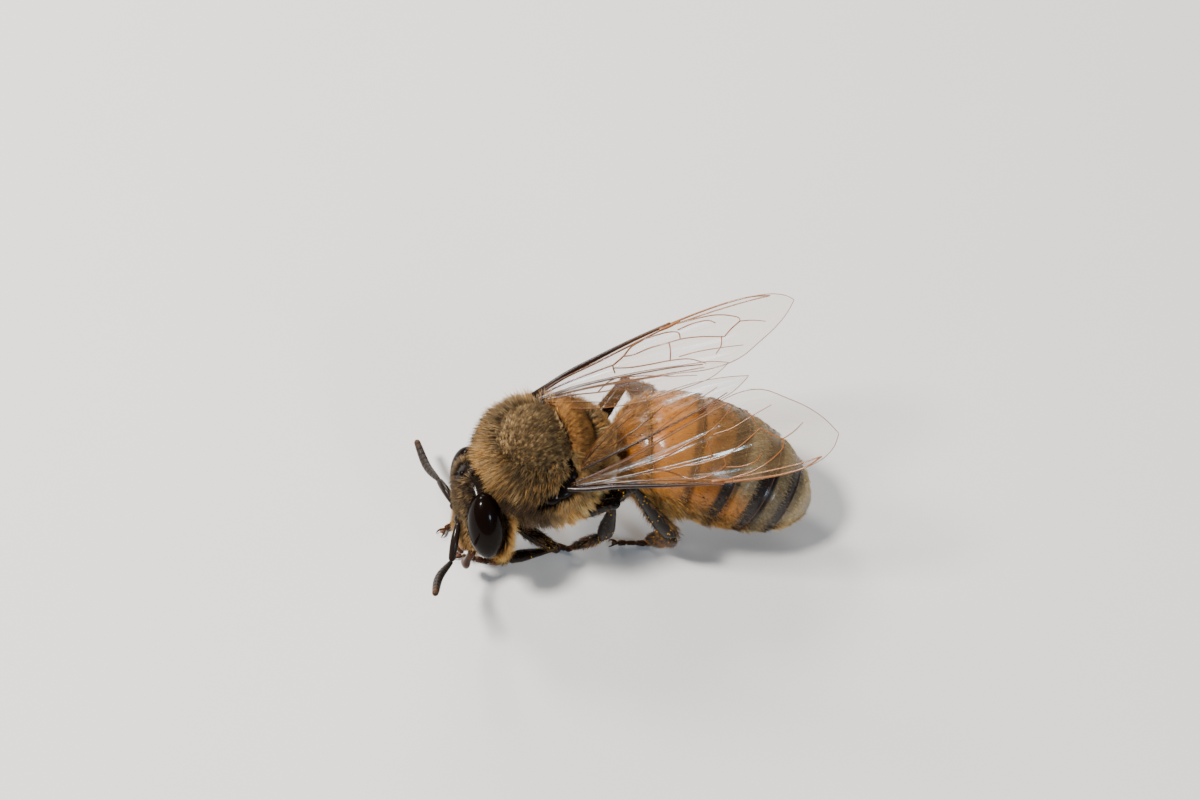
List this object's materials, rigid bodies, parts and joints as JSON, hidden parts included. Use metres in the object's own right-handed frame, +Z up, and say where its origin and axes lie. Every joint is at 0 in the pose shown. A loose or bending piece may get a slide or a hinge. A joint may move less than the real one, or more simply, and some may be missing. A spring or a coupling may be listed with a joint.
{
  "type": "honey bee",
  "caption": "Life-size model of a worker honey bee standing with its head bent down, feelers spread and wings folded back over a banded abdomen.",
  "frame": {"origin": "on the floor, under the middle of the bounding box, at the level of the flats under the feet", "axes": "-Y towards the head, +X the bee's left side, +Z up"},
  "size_m": [0.0089, 0.0136, 0.0085],
  "materials": {
    "thorax_coat": "soft hair",
    "head_coat": "short hair",
    "eye_gloss": "glossy",
    "dark_shell": "satin",
    "amber_shell": "satin",
    "banded_shell": "satin",
    "tongue_brown": "satin",
    "wing_membrane": "thin clear film"
  },
  "bodies": {
    "root": {"head": "head_coat", "eye_left": "eye_gloss", "eye_right": "eye_gloss", "mandible_left": "dark_shell", "mandible_right": "dark_shell", "tongue": "tongue_brown", "antenna_scape_left": "dark_shell", "antenna_scape_right": "dark_shell", "antenna_flagellum_left": "dark_shell", "antenna_flagellum_right": "dark_shell", "thorax": "thorax_coat", "waist": "dark_shell", "abdomen_1": "amber_shell", "abdomen_2": "amber_shell", "abdomen_3": "amber_shell", "abdomen_4": "banded_shell", "abdomen_5": "banded_shell", "abdomen_6": "banded_shell", "forewing_left": "wing_membrane", "forewing_right": "wing_membrane", "hindwing_left": "wing_membrane", "hindwing_right": "wing_membrane", "coxa_front_left": "dark_shell", "coxa_front_right": "dark_shell", "coxa_middle_left": "dark_shell", "coxa_middle_right": "dark_shell", "coxa_hind_left": "dark_shell", "coxa_hind_right": "dark_shell", "femur_front_left": "dark_shell", "femur_front_right": "dark_shell", "femur_middle_left": "dark_shell", "femur_middle_right": "dark_shell", "femur_hind_left": "dark_shell", "femur_hind_right": "dark_shell", "tibia_front_left": "dark_shell", "tibia_front_right": "dark_shell", "tibia_middle_left": "dark_shell", "tibia_middle_right": "dark_shell", "tibia_hind_left": "dark_shell", "tibia_hind_right": "dark_shell", "tarsus_front_left": "dark_shell", "tarsus_front_right": "dark_shell", "tarsus_middle_left": "dark_shell", "tarsus_middle_right": "dark_shell", "tarsus_hind_left": "dark_shell", "tarsus_hind_right": "dark_shell"}
  },
  "joints": []
}
